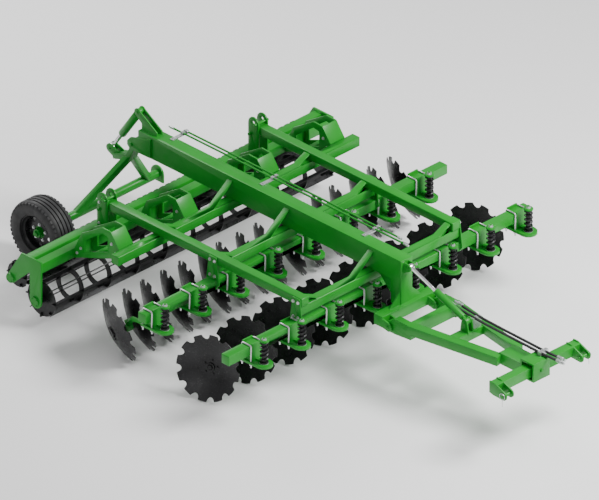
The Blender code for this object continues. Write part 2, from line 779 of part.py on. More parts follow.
def strut(name, eye, tip, barrel_radius, rod_radius, barrel_length, rod_length, open_play):
    """A barrel that turns on the pin at one end, and the rod that slides in it. The
    rod's eye has extra play round its own pin, because the linkage is open there."""
    start, end = Vector((0, *eye)), Vector((0, *tip))
    way = (end - start).normalized()
    half = LINK_EYE_WIDTH / 2
    barrel_start = start + way * (LINK_EYE + 0.012)
    barrel = [
        rod(barrel_start, start + way * barrel_length, barrel_radius),
        rod(start + way * (LINK_PIN + 0.006), barrel_start + way * 0.006, half - 0.002),
        pin(*eye, LINK_EYE - 0.004, (-half, half)),
    ]
    bored = rod(barrel_start + way * 0.010, start + way * (barrel_length + 0.02), rod_radius + PIN_PLAY)
    eye_hole = pin(*eye, link_bore, (-2 * half, 2 * half))
    add(f"{name}_barrel", joined(barrel, [bored, eye_hole]), "paint", start)
    open_hole = link_bore + open_play
    rod_pieces = [
        rod(end - way * rod_length, end - way * (open_hole + 0.004), rod_radius),
        pin(*tip, open_hole + 0.012, (-half, half)),
    ]
    rod_hole = pin(*tip, open_hole, (-2 * half, 2 * half))
    add(f"{name}_rod", joined(rod_pieces, [rod_hole]), "steel", end)


# Rear roller unit


def cage(name, y, z, radius, hole, rings, bars):
    """A cage roller: flat bars along it, through open rings and two end discs."""
    spread = 2 * (ROLLER_HALF - 0.020) / (rings - 1)
    pieces = []
    for number in range(rings):
        x = -ROLLER_HALF + 0.020 + spread * number
        end = number in (0, rings - 1)
        if end:
            face = ((x - RING_THICK / 2, y, z), (x + RING_THICK / 2, y, z))
            disc = rod(*face, radius - 0.010, 2 * bars)
        else:
            flat = washer(radius - 0.010, hole, -RING_THICK / 2, RING_THICK / 2, bars)
            disc = moved(flat, facing_x(x, y, z))
        pieces.append(disc)
    for number in range(bars):
        angle = 2 * math.pi * number / bars
        reach = radius * math.cos(math.asin(CAGE_BAR_THICK / 2 / radius))
        low = (-ROLLER_HALF, ROLLER_HALF)
        bar = box(low, (reach - CAGE_BAR_DEPTH, reach), (-CAGE_BAR_THICK / 2, CAGE_BAR_THICK / 2))
        turn = Matrix.Translation((0, y, z)) @ Matrix.Rotation(angle, 4, "X")
        pieces.append(moved(bar, turn))
    for side in (-1, 1):
        stub = ordered(side * (ROLLER_HALF - 0.05), side * (ROLLER_TUBE_HALF + END_ARM_THICK + 0.004))
        pieces.append(pin(y, z, AXLE_STUB, stub))
    add(name, joined(pieces), "black", (0, y, z))


def roller_frame():
    """Two tubes between the end arms that hold both rollers' axles."""
    half = TUBE / 2
    z = (ROLLER_TUBE_TOP - TUBE, ROLLER_TUBE_TOP)
    reach = ROLLER_TUBE_HALF + 0.002
    pieces = [box((-reach, reach), (y - half, y + half), z) for y in ROLLER_TUBE_Y]
    foot_y = (END_ARM_FRONT + END_ARM_REAR) / 2
    foot_radius = (END_ARM_REAR - END_ARM_FRONT) / 2
    cuts = []
    for side in (-1, 1):
        x = ordered(side * ROLLER_TUBE_HALF, side * (ROLLER_TUBE_HALF + END_ARM_THICK))
        foot = arc((foot_y, END_ARM_FOOT + foot_radius), foot_radius, 180, 360, 8)
        pieces.append(plate(foot + [(END_ARM_REAR, z[1] + 0.02), (END_ARM_FRONT, z[1] + 0.02)], *x))
        nose = arc((REAR_ROLLER_Y, REAR_ROLLER_Z), 0.045, -120, 60, 6)
        slant = nose + [(END_ARM_REAR + 0.09, z[1] + 0.02), (END_ARM_REAR - 0.03, z[1] + 0.02)]
        slant += [(END_ARM_REAR - 0.03, z[0])]
        pieces.append(plate(slant, *x))
        across = ordered(side * (ROLLER_TUBE_HALF - 0.02), side * (ROLLER_TUBE_HALF + END_ARM_THICK + 0.02))
        cuts.append(pin(FRONT_ROLLER_Y, FRONT_ROLLER_Z, bore(AXLE_STUB), across))
        cuts.append(pin(REAR_ROLLER_Y, REAR_ROLLER_Z, bore(AXLE_STUB), across))
    add("roller_frame", joined(pieces, cuts), "paint")


def roller_bracket(name, x):
    """A sloping box bracket from the rear cross tube to the roller frame."""
    front = REAR_Y + TUBE / 2 + GAP
    rear = ROLLER_TUBE_Y[0] - TUBE / 2 - GAP
    tube_low = ROLLER_TUBE_TOP - TUBE
    outline = [
        (front, TUBE_TOP - TUBE),
        (front, TUBE_TOP),
        (front + 0.085, TUBE_TOP + 0.115),
        (front + 0.180, TUBE_TOP + 0.120),
        (rear - 0.074, ROLLER_TUBE_TOP + 0.160),
        (rear, ROLLER_TUBE_TOP),
        (rear, tube_low),
        (rear - 0.074, tube_low + 0.030),
    ]
    body = plate(outline, x - BRACKET_HALF, x + BRACKET_HALF)
    window = [
        (front + 0.120, TUBE_TOP - 0.070),
        (front + 0.120, TUBE_TOP + 0.060),
        (front + 0.180, TUBE_TOP + 0.070),
        (rear - 0.110, ROLLER_TUBE_TOP + 0.110),
        (rear - 0.110, ROLLER_TUBE_TOP + 0.010),
    ]
    through = plate(window, x - 2 * BRACKET_HALF, x + 2 * BRACKET_HALF)
    inside = BRACKET_HALF - BRACKET_WALL
    well = box((x - inside, x + inside), (front + 0.090, rear - 0.060), (tube_low - 0.1, TUBE_TOP + 0.2))
    hollow = joined([body], [through, well])
    cross_bar = box(
        (x - inside - 0.005, x + inside + 0.005),
        ((front + rear) / 2 - 0.020, (front + rear) / 2 + 0.020),
        (TUBE_TOP - 0.152, TUBE_TOP - 0.124),
    )
    add(name, joined([helper(hollow), cross_bar]), "paint")


def adjuster(name, side):
    """Two drilled plates on the roller frame, one each side of the rail's end."""
    foot_z = ROLLER_TUBE_TOP + GAP
    inner = RAIL_X - TUBE / 2 - GAP
    outer = RAIL_X + TUBE / 2 + GAP
    middle_y = (ADJUSTER_FRONT + ADJUSTER_REAR) / 2
    y = (ADJUSTER_FRONT + 0.004, ADJUSTER_REAR - 0.004)
    foot_x = ordered(side * (inner - 0.006), side * (outer + 0.006))
    pieces = [box(foot_x, y, (foot_z + 0.002, foot_z + 0.014))]
    top = arc((middle_y, ADJUSTER_TOP - 0.055), 0.055, 0, 180, 6)
    outline = top + [(ADJUSTER_FRONT, foot_z), (ADJUSTER_REAR, foot_z)]
    across = ordered(side * (inner - ADJUSTER_THICK - 0.02), side * (outer + ADJUSTER_THICK + 0.02))
    for near, far in ((inner - ADJUSTER_THICK, inner), (outer, outer + ADJUSTER_THICK)):
        pieces.append(plate(outline, *ordered(side * near, side * far)))
    holes = [pin(middle_y, ADJUSTER_TOP - drop, ADJUSTER_PIN + 0.002, across) for drop in (0.045,)]
    bolt = pin(middle_y - 0.030, rail_top + 0.018, ADJUSTER_PIN, across)
    second = pin(middle_y + 0.030, rail_top - 0.080, ADJUSTER_PIN, across)
    plates = joined(pieces, holes)
    add(name, joined([helper(plates), bolt, second]), "paint")


# Transport wheel

axle_inner_end = WHEEL_X + TYRE_WIDTH / 2 + 0.037
hub_bore = bore(SPINDLE)


def wheel():
    """Tyre and rim, both turned about the axle."""
    half = TYRE_WIDTH / 2
    bead = RIM_RADIUS + GAP
    tyre = [
        (bead, half - 0.022),
        (bead + 0.030, half),
        (WHEEL_RADIUS - 0.040, half),
        (WHEEL_RADIUS - 0.010, half - 0.022),
        (WHEEL_RADIUS, half - 0.060),
    ]
    tyre_loop = tyre + [(r, -z) for r, z in reversed(tyre)]
    at_wheel = facing_x(WHEEL_X, WHEEL_Y, WHEEL_RADIUS)
    steps = 20
    tyre_shape = moved(ring(tyre_loop, steps), at_wheel)
    pivot = (WHEEL_X, WHEEL_Y, WHEEL_RADIUS)
    add("transport_tyre", joined([tyre_shape]), "rubber", pivot)
    well = half - 0.024
    rim_loop = [
        (RIM_RADIUS, well), (RIM_RADIUS, -well), (RIM_RADIUS - 0.010, -well), (RIM_RADIUS - 0.014, 0.018),
        (0.075, 0.026), (0.055, 0.026), (0.050, -0.060), (hub_bore, -0.060),
        (hub_bore, 0.070), (0.050, 0.070), (0.055, 0.036), (0.075, 0.036),
        (RIM_RADIUS - 0.014, 0.028), (RIM_RADIUS - 0.010, well),
    ]
    rim_shape = moved(ring(rim_loop, steps), at_wheel)
    add("transport_wheel_rim", joined([rim_shape]), "black", pivot)


def wheel_frame():
    """The axle tube and spindle, the two legs, and the pivot on the spine's end."""
    neck_y = PIVOT_Y + 0.085
    neck_z = PIVOT_Z - 0.185
    axle_z = WHEEL_RADIUS
    pieces = [
        pin(WHEEL_Y, axle_z, AXLE_TUBE, (axle_inner_end, AXLE_END)),
        pin(WHEEL_Y, axle_z, SPINDLE, (WHEEL_X - 0.085, axle_inner_end + 0.02)),
        pin(PIVOT_Y, PIVOT_Z, PIVOT_TUBE, (-PIVOT_HALF, PIVOT_HALF)),
        beam((0, PIVOT_Y, PIVOT_Z), (0, neck_y, neck_z), 0.088, 0.044),
        beam((0, neck_y - 0.012, neck_z + 0.03), (0, HORN_Y - 0.045, HORN_Z - 0.045), 0.088, 0.044),
    ]
    for x in LEG_X:
        start = math.copysign(0.018, x)
        pieces.append(beam((start, neck_y, neck_z + 0.02), (x, WHEEL_Y - 0.004, axle_z + 0.01), LEG_TUBE, LEG_TUBE))
    for side in (-1, 1):
        horn = arc((HORN_Y, HORN_Z), 0.036, -60, 120, 6)
        horn += [(HORN_Y - 0.096, HORN_Z + 0.002), (HORN_Y - 0.067, HORN_Z - 0.072)]
        pieces.append(link_lug(horn, side))
    arch = arc((WHEEL_Y, axle_z + 0.005), 0.065, 0, 180, 8)
    arch += [(WHEEL_Y - 0.065, axle_z - 0.060), (WHEEL_Y + 0.065, axle_z - 0.060)]
    pieces.append(plate(arch, AXLE_END - 0.014, AXLE_END))
    pieces.append(link_pin(HORN_Y, HORN_Z))
    hole = pin(PIVOT_Y, PIVOT_Z, bore(PIVOT_PIN), (-2 * PIVOT_HALF, 2 * PIVOT_HALF))
    slot_half = LINK_EYE_WIDTH / 2 + 0.002
    slot = box((-slot_half, slot_half), (HORN_Y - 0.055, HORN_Y + 0.1), (HORN_Z - 0.055, HORN_Z + 0.1))
    body = joined(pieces[:-1], [hole, slot])
    add("wheel_frame", joined([helper(body), pieces[-1]]), "paint", (0, PIVOT_Y, PIVOT_Z))


# Pipes and hoses


def pipes():
    """Two pipes along the spine, held by clip bars that lie on its top."""
    clip_low = spine_top + GAP
    clip_high = clip_low + 0.008
    z = clip_high + PIPE_RADIUS * 0.6
    pieces = []
    for number, x in enumerate(PIPE_X):
        front = PIPE_FRONT + 0.10 * number
        rear = PIPE_REAR - 0.12 * number
        pieces.append(rod((x, front, z), (x, rear, z), PIPE_RADIUS, 8))
        pieces.append(rod((x, front - 0.035, z), (x, front + 0.010, z), PIPE_RADIUS + 0.005, 8))
        pieces.append(rod((x, rear - 0.010, z), (x, rear + 0.035, z), PIPE_RADIUS + 0.005, 8))
    for y in PIPE_CLIPS:
        pieces.append(box((0.010, PIPE_X[1] + 0.016), (y - 0.016, y + 0.016), (clip_low, clip_high)))
    add("hydraulic_pipes", joined(pieces), "steel")


def hoses():
    """Two hoses along the drawbar, in a clamp on its head and one on its tie."""
    head_rest = HEAD_TOP + GAP
    z = head_rest + 0.014
    tie_y = LEVEL_LOW_Y - 0.012
    pieces = []
    for number, x in enumerate(HOSE_X):
        step = 0.03 * number
        points = [
            (x, HOSE_FRONT + step, z + 0.006),
            (x, -1.80, z + 0.004),
            (x, SHAFT_Y, z),
            (x, -1.50, z + 0.003),
            (x, -1.20, z + 0.008),
            (x, tie_y, z + 0.016),
            (x, -0.82, z + 0.030),
            (x, HOSE_REAR - step, z + 0.044),
        ]
        pieces.append(bent_tube(points, HOSE_RADIUS))
        for tip, inward in ((points[0], 0.075), (points[-1], -0.075)):
            pieces.append(rod(tip, (x, tip[1] + inward, tip[2] - inward * 0.05 * (inward < 0)), HOSE_RADIUS + 0.004, 8))
    clamp_x = (HOSE_X[0] - 0.022, HOSE_X[1] + 0.022)
    head_x = (HOSE_X[0] - 0.022, NECK_HALF)
    pieces.append(box(head_x, (SHAFT_Y - 0.016, SHAFT_Y + 0.016), (head_rest, z + 0.008)))
    pieces.append(box((HOSE_X[0], HOSE_X[1] + 0.004), (SHAFT_Y - 0.016, SHAFT_Y + 0.016), (z - 0.006, z + 0.006)))
    pieces.append(box(clamp_x, (tie_y - 0.016, tie_y + 0.016), (DRAWBAR_TOP - 0.004 + GAP, z + 0.024)))
    add("hydraulic_hoses", joined(pieces), "rubber", (0, HINGE_Y, HINGE_Z))


spine()
cross_tube("front_cross_tube", FRONT_Y, rail_outer)
cross_tube("middle_cross_tube", MIDDLE_Y, rail_outer)
cross_tube("rear_cross_tube", REAR_Y, REAR_TUBE_HALF)
side_rail("right_side_rail", -1)
side_rail("left_side_rail", 1)
disc_bar("front_disc_bar", BAR_Y[0])
disc_bar("rear_disc_bar", BAR_Y[1])
disc_rows()
drawbar()
cross_shaft()
strut(
    "levelling",
    (LEVEL_LOW_Y, LEVEL_LOW_Z),
    (LEVEL_TOP_Y, LEVEL_TOP_Z),
    LEVEL_BARREL,
    LEVEL_ROD,
    LEVEL_BARREL_LENGTH,
    LEVEL_ROD_LENGTH,
    0.004,
)
roller_frame()
cage("front_roller", FRONT_ROLLER_Y, FRONT_ROLLER_Z, FRONT_ROLLER_RADIUS, FRONT_RING_HOLE, RING_COUNT, CAGE_BARS)
cage("rear_roller", REAR_ROLLER_Y, REAR_ROLLER_Z, REAR_ROLLER_RADIUS, REAR_RING_HOLE, REAR_RING_COUNT, REAR_CAGE_BARS)
for number, bracket_x in enumerate(BRACKET_X):
    roller_bracket(f"roller_bracket_{number + 1}", bracket_x)
adjuster("right_roller_adjuster", -1)
adjuster("left_roller_adjuster", 1)
wheel()
wheel_frame()
strut(
    "lift_cylinder",
    (CYLINDER_Y, CYLINDER_Z),
    (HORN_Y, HORN_Z),
    LIFT_BARREL,
    LIFT_ROD,
    LIFT_BARREL_LENGTH,
    LIFT_ROD_LENGTH,
    OPEN_EYE_PLAY,
)
pipes()
hoses()
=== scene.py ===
"""Looks of the disc harrow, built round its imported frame: rounded and painted steel,
dished notched discs, coil springs, U-bolts, cage rollers, tyre, rim, hoses and bolts."""

import json
import math

import bmesh
import bpy
from mathutils import Matrix, Vector


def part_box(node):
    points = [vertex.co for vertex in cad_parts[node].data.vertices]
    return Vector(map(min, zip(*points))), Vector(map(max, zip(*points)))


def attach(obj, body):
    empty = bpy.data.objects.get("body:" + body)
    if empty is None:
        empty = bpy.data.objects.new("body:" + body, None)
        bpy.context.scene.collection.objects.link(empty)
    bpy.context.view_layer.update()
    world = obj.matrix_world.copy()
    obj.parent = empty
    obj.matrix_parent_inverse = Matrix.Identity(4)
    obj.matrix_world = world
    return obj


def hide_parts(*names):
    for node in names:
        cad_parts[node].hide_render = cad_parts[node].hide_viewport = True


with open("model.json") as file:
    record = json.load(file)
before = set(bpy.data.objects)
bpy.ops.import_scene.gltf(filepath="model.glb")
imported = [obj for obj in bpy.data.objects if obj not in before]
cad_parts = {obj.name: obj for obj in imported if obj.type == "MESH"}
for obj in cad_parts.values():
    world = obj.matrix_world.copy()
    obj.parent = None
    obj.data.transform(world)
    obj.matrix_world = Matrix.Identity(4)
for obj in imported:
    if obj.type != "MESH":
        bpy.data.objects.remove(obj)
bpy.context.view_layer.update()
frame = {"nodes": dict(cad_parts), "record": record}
record = frame["record"]
joints = {joint["name"]: joint for joint in record["behaviour"]["joints"]}
body_of = {node: body for body, nodes in record["behaviour"]["bodies"].items() for node in nodes}
slot_of = {row["node"]: row["material_slot"] for row in record["subparts"]}


# Camera, lights and floor

VIEW_WIDTH = 4.4869
CAMERA_AZIMUTH = math.radians(-45)
CAMERA_ELEVATION = math.radians(30)
LOOK_AT = Vector((-0.240, 0.039, 0.750))
CAMERA_DISTANCE = 12.0
LIT_SPOT = Vector((0, 0, 0.4))
WORLD_STRENGTH = 0.5
FLOOR_HALF = 40
FLOOR_DROP = 0.002


def add_camera():
    data = bpy.data.cameras.new("camera")
    data.type = "ORTHO"
    data.ortho_scale = VIEW_WIDTH
    data.clip_end = 100
    camera = bpy.data.objects.new("camera", data)
    level = math.cos(CAMERA_ELEVATION)
    back = Vector((
        level * math.sin(CAMERA_AZIMUTH),
        -level * math.cos(CAMERA_AZIMUTH),
        math.sin(CAMERA_ELEVATION),
    ))
    camera.location = LOOK_AT + back * CAMERA_DISTANCE
    camera.rotation_euler = back.to_track_quat("Z", "Y").to_euler()
    bpy.context.scene.collection.objects.link(camera)
    bpy.context.scene.camera = camera


def area_light(name, place, size, watts):
    data = bpy.data.lights.new(name, "AREA")
    data.shape = "DISK"
    data.size = size
    data.energy = watts
    light = bpy.data.objects.new(name, data)
    light.location = place
    light.rotation_euler = (light.location - LIT_SPOT).to_track_quat("Z", "Y").to_euler()
    bpy.context.scene.collection.objects.link(light)


def add_surroundings():
    area_light("key", (3.0, -5.0, 7.0), 4.0, 1300)
    area_light("fill", (-7.0, -2.0, 4.0), 5.0, 60)
    area_light("rim", (1.0, 7.0, 5.0), 5.0, 350)
    world = bpy.data.worlds.new("studio")
    world.use_nodes = True
    background = world.node_tree.nodes["Background"]
    background.inputs["Color"].default_value = (1, 1, 1, 1)
    background.inputs["Strength"].default_value = WORLD_STRENGTH
    bpy.context.scene.world = world
    floor_mesh = bpy.data.meshes.new("floor")
    body = bmesh.new()
    bmesh.ops.create_grid(body, x_segments=1, y_segments=1, size=FLOOR_HALF)
    body.to_mesh(floor_mesh)
    body.free()
    floor = bpy.data.objects.new("floor", floor_mesh)
    bpy.context.scene.collection.objects.link(floor)
    floor.location.z = -FLOOR_DROP
    pale = bpy.data.materials.new("floor_pale")
    pale.use_nodes = True
    shader = pale.node_tree.nodes["Principled BSDF"]
    shader.inputs["Base Color"].default_value = (0.90, 0.90, 0.90, 1)
    shader.inputs["Roughness"].default_value = 0.9
    floor_mesh.materials.append(pale)


# Materials


class Surface:
    """A Principled material whose colour, roughness and relief come from noise."""

    def __init__(self, name, colour, roughness, metallic=0.0, coat=0.0):
        self.material = bpy.data.materials.new(name)
        self.material.use_nodes = True
        self.tree = self.material.node_tree
        self.shader = self.tree.nodes["Principled BSDF"]
        self.shader.inputs["Metallic"].default_value = metallic
        self.shader.inputs["Coat Weight"].default_value = coat
        self.shader.inputs["Coat Roughness"].default_value = 0.15
        self.shader.inputs["Base Color"].default_value = (*colour, 1)
        self.shader.inputs["Roughness"].default_value = roughness
        self.colour = colour
        self.roughness = roughness
        self.place = self.tree.nodes.new("ShaderNodeTexCoord").outputs["Object"]

    def noise(self, scale, detail=4.0, stretch=None):
        node = self.tree.nodes.new("ShaderNodeTexNoise")
        node.inputs["Scale"].default_value = scale
        node.inputs["Detail"].default_value = detail
        place = self.place
        if stretch:
            mapping = self.tree.nodes.new("ShaderNodeMapping")
            mapping.inputs["Scale"].default_value = stretch
            self.tree.links.new(self.place, mapping.inputs["Vector"])
            place = mapping.outputs["Vector"]
        self.tree.links.new(place, node.inputs["Vector"])
        return node.outputs["Fac"]

    def ramp(self, source, low, high, start, end):
        node = self.tree.nodes.new("ShaderNodeValToRGB")
        node.color_ramp.elements[0].position = start
        node.color_ramp.elements[0].color = (*low, 1)
        node.color_ramp.elements[1].position = end
        node.color_ramp.elements[1].color = (*high, 1)
        self.tree.links.new(source, node.inputs["Fac"])
        return node.outputs["Color"]

    def mix(self, factor, first, second):
        node = self.tree.nodes.new("ShaderNodeMix")
        node.data_type = "RGBA"
        self.tree.links.new(factor, node.inputs["Factor"])
        self.tree.links.new(first, node.inputs["A"])
        self.tree.links.new(second, node.inputs["B"])
        return node.outputs["Result"]

    def tint(self, scale, amount):
        """Cloudy change of the base colour, by this share each way."""
        low = [max(0.0, c * (1 - amount)) for c in self.colour]
        high = [min(1.0, c * (1 + amount)) for c in self.colour]
        return self.ramp(self.noise(scale), low, high, 0.35, 0.65)

    def set_colour(self, source):
        self.tree.links.new(source, self.shader.inputs["Base Color"])

    def vary_roughness(self, scale, spread):
        node = self.tree.nodes.new("ShaderNodeMapRange")
        node.inputs["From Min"].default_value = 0.3
        node.inputs["From Max"].default_value = 0.7
        node.inputs["To Min"].default_value = max(0.02, self.roughness - spread)
        node.inputs["To Max"].default_value = min(1.0, self.roughness + spread)
        self.tree.links.new(self.noise(scale), node.inputs["Value"])
        self.tree.links.new(node.outputs["Result"], self.shader.inputs["Roughness"])

    def relief(self, source, strength, distance):
        node = self.tree.nodes.new("ShaderNodeBump")
        node.inputs["Strength"].default_value = strength
        node.inputs["Distance"].default_value = distance
        self.tree.links.new(source, node.inputs["Height"])
        self.tree.links.new(node.outputs["Normal"], self.shader.inputs["Normal"])


GREEN = (0.007, 0.225, 0.014)
BLACK = (0.010, 0.010, 0.011)


def green_paint():
    """Glossy paint with faint orange peel and a little dust in places."""
    made = Surface("green_paint", GREEN, 0.38, coat=0.06)
    made.shader.inputs["Specular IOR Level"].default_value = 0.28
    dusty = made.ramp(made.noise(38, 6), (0, 0, 0), (0.16, 0.16, 0.16), 0.58, 0.80)
    dust_colour = made.ramp(made.noise(9), (0.020, 0.200, 0.024), (0.034, 0.220, 0.036), 0.3, 0.7)
    made.set_colour(made.mix(dusty, made.tint(3.2, 0.07), dust_colour))
    made.vary_roughness(14, 0.07)
    made.relief(made.noise(420, 2), 0.10, 0.0006)
    return made.material


def worn_black(name, scuff_level):
    """Black paint on steel, scuffed through to grey where the soil polishes it."""
    made = Surface(name, BLACK, 0.34, metallic=0.35)
    scuffs = made.noise(60, 8, (1, 1, 5))
    bare = made.ramp(scuffs, (0, 0, 0), (1, 1, 1), scuff_level, scuff_level + 0.16)
    grey = made.ramp(made.noise(25), (0.05, 0.05, 0.052), (0.10, 0.10, 0.104), 0.3, 0.7)
    made.set_colour(made.mix(bare, made.tint(6, 0.35), grey))
    made.vary_roughness(22, 0.10)
    made.relief(made.noise(300, 3), 0.15, 0.0005)
    return made.material


def rubber(name, colour, grain):
    made = Surface(name, colour, 0.62)
    dusty = made.ramp(made.noise(11, 5), (0, 0, 0), (0.5, 0.5, 0.5), 0.5, 0.85)
    pale = made.ramp(made.noise(4), (0.040, 0.038, 0.036), (0.055, 0.052, 0.048), 0.3, 0.7)
    made.set_colour(made.mix(dusty, made.tint(8, 0.2), pale))
    made.vary_roughness(18, 0.10)
    made.relief(made.noise(grain, 3), 0.25, 0.0006)
    return made.material


def zinc():
    """Galvanised steel, with faint spangle."""
    made = Surface("pipe_steel", (0.52, 0.54, 0.54), 0.36, metallic=0.85)
    cells = made.tree.nodes.new("ShaderNodeTexVoronoi")
    cells.inputs["Scale"].default_value = 160
    made.tree.links.new(made.place, cells.inputs["Vector"])
    dull, bright = (0.44, 0.46, 0.46), (0.66, 0.68, 0.68)
    made.set_colour(made.ramp(cells.outputs["Distance"], dull, bright, 0.1, 0.8))
    made.vary_roughness(70, 0.10)
    made.relief(made.noise(500, 2), 0.10, 0.0003)
    return made.material


def chrome():
    """Ground and plated rod, with fine marks round it."""
    made = Surface("chrome_rod", (0.78, 0.79, 0.80), 0.12, metallic=1.0)
    made.set_colour(made.tint(12, 0.05))
    made.vary_roughness(90, 0.05)
    made.relief(made.noise(700, 2, (1, 1, 8)), 0.05, 0.0002)
    return made.material


materials = {
    "green_paint": green_paint(),
    "disc_steel": worn_black("disc_steel", 0.60),
    "roller_paint": worn_black("roller_paint", 0.66),
    "wheel_black": worn_black("wheel_black", 0.74),
    "tyre_rubber": rubber("tyre_rubber", (0.014, 0.014, 0.015), 240),
    "hose_rubber": rubber("hose_rubber", (0.012, 0.012, 0.013), 600),
    "pipe_steel": zinc(),
    "chrome_rod": chrome(),
}


# Building pieces

SMOOTH_ANGLE = math.radians(34)


def finish_mesh(mesh, slot):
    mesh.materials.clear()
    mesh.materials.append(materials[slot])
    mesh.shade_smooth()
    mesh.set_sharp_from_angle(angle=SMOOTH_ANGLE)


def piece(name, mesh, body, slot, replaces=(), matrix=None):
    """A visible piece that rides on a body and takes its finish from a slot."""
    if not mesh.materials or mesh.materials[0] != materials[slot]:
        finish_mesh(mesh, slot)
    if matrix is not None:
        mesh = mesh.copy()
        mesh.transform(matrix)
    obj = bpy.data.objects.new(name, mesh)
    bpy.context.scene.collection.objects.link(obj)
    bpy.context.view_layer.update()
    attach(obj, body)
    if replaces:
        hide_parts(*replaces)
    return obj


def mesh_from(body):
    mesh = bpy.data.meshes.new("shape")
    bmesh.ops.recalc_face_normals(body, faces=body.faces)
    body.to_mesh(mesh)
    body.free()
    return mesh


def applied(mesh, add_modifiers):
    """The mesh after the modifiers that the function adds."""
    obj = bpy.data.objects.new("work", mesh)
    bpy.context.scene.collection.objects.link(obj)
    add_modifiers(obj)
    bpy.context.view_layer.update()
    graph = bpy.context.evaluated_depsgraph_get()
    made = bpy.data.meshes.new_from_object(obj.evaluated_get(graph))
    bpy.data.objects.remove(obj, do_unlink=True)
    return made


def cylinder(body, start, end, radius, sides=24, end_radius=None):
    start, end = Vector(start), Vector(end)
    turn = (end - start).to_track_quat("Z", "Y").to_matrix().to_4x4()
    bmesh.ops.create_cone(
        body,
        cap_ends=True,
        segments=sides,
        radius1=radius,
        radius2=radius if end_radius is None else end_radius,
        depth=(end - start).length,
        matrix=Matrix.Translation((start + end) / 2) @ turn,
    )


def block(body, x, y, z):
    made = bmesh.ops.create_cube(body, size=1)
    limits = (x, y, z)
    bmesh.ops.scale(body, vec=[high - low for low, high in limits], verts=made["verts"])
    bmesh.ops.translate(body, vec=[(low + high) / 2 for low, high in limits], verts=made["verts"])
    return made["verts"]


def hex_bolt(body, place, axis, size):
    """A bolt head on a face, across flats about 1.7 times its size, with a washer."""
    place, axis = Vector(place), Vector(axis)
    cylinder(body, place - axis * 0.001, place + axis * size * 0.18, size * 1.15, 24)
    cylinder(body, place, place + axis * size * 0.85, size, 6, size * 0.96)
    cylinder(body, place, place + axis * size * 1.15, size * 0.48, 12)


def tube(points, radius, sides=12, closed=False):
    """A round tube swept along points."""
    data = bpy.data.curves.new("tube", "CURVE")
    data.dimensions = "3D"
    data.bevel_depth = radius
    data.bevel_resolution = max(1, sides // 4 - 1)
    data.use_fill_caps = True
    spline = data.splines.new("POLY")
    spline.points.add(len(points) - 1)
    for point, place in zip(spline.points, points):
        point.co = (*place, 1)
    spline.use_cyclic_u = closed
    obj = bpy.data.objects.new("tube", data)
    bpy.context.scene.collection.objects.link(obj)
    bpy.context.view_layer.update()
    mesh = bpy.data.meshes.new_from_object(obj.evaluated_get(bpy.context.evaluated_depsgraph_get()))
    bpy.data.objects.remove(obj, do_unlink=True)
    return mesh


def merged(meshes):
    body = bmesh.new()
    for mesh in meshes:
        body.from_mesh(mesh)
    bmesh.ops.remove_doubles(body, verts=body.verts, dist=1e-6)
    return mesh_from(body)


def turned(outline, steps):
    """A closed outline of (radius, height) points, turned about Z."""
    body = bmesh.new()
    rows = []
    for step in range(steps):
        angle = 2 * math.pi * step / steps
        across, along = math.cos(angle), math.sin(angle)
        rows.append([body.verts.new((r * across, r * along, z)) for r, z in outline])
    count = len(outline)
    for step in range(steps):
        first, second = rows[step], rows[(step + 1) % steps]
        for i in range(count):
            j = (i + 1) % count
            body.faces.new((first[i], first[j], second[j], second[i]))
    return mesh_from(body)


# Rounded copies of the welded and machined steel

TUBE_ROUND = 0.008
PLATE_ROUND = 0.0025
PIN_ROUND = 0.0015
SHARP_ANGLE = math.radians(40)
WELD_DISTANCE = 2e-5
SQUARE_TUBES = (
    "front_cross_tube", "middle_cross_tube", "rear_cross_tube",
    "right_side_rail", "left_side_rail", "front_disc_bar", "rear_disc_bar",
)


def rounded(node, width, segments):
    body = bmesh.new()
    body.from_mesh(frame["nodes"][node].data)
    bmesh.ops.remove_doubles(body, verts=body.verts, dist=WELD_DISTANCE)
    plain = mesh_from(body)

    def add_bevel(obj):
        bevel = obj.modifiers.new("round", "BEVEL")
        bevel.width = width
        bevel.segments = segments
        bevel.limit_method = "ANGLE"
        bevel.angle_limit = SHARP_ANGLE
        bevel.use_clamp_overlap = True

    return applied(plain, add_bevel)


def rounded_steel():
    """Every green or plated node, with its edges rounded as rolled and ground steel."""
    for node, slot in slot_of.items():
        if slot not in ("green_paint", "chrome_rod"):
            continue
        if node in SQUARE_TUBES:
            width, segments = TUBE_ROUND, 3
        elif slot == "chrome_rod":
            width, segments = PIN_ROUND, 2
        else:
            width, segments = PLATE_ROUND, 2
        piece(f"{node}_steel", rounded(node, width, segments), body_of[node], slot, (node,))


# Discs

DISC_RADIUS = 0.260
DISC_THICK = 0.006
DISC_DISH = 0.055
DISC_FLAT = 0.088
NOTCHES = 12
NOTCH_DEPTH = 0.036
NOTCH_HALF_ANGLE = 0.125
RIM_STEPS = 192
DISH_RINGS = 9
HUB_RADIUS = 0.040
HUB_BOLTS = 5
HUB_BOLT_CIRCLE = 0.054
PAIR_SPACING = 0.170
PAIR_BOSS = 0.027
PAIR_AXLE = 0.0155
PAIR_PHASE = 0.2
DISC_PHASE = math.radians(11)
DISH_CURVE = 1.35
HOUSING_ROOM = 0.057
FLANGE_DEPTH = 0.012
DISC_ASIDE = 0.056
DISC_BACK = 0.411


def notched_radius(angle):
    """The rim's radius, with rounded notches between broad teeth."""
    pitch = 2 * math.pi / NOTCHES
    offset = abs((angle + pitch / 2) % pitch - pitch / 2) / NOTCH_HALF_ANGLE
    if offset >= 1:
        return DISC_RADIUS
    return DISC_RADIUS - NOTCH_DEPTH * math.sqrt(1 - offset * offset)


def dish_height(radius):
    share = max(0.0, (radius - DISC_FLAT) / (DISC_RADIUS - DISC_FLAT))
    return -DISC_DISH * (1 - share ** DISH_CURVE)


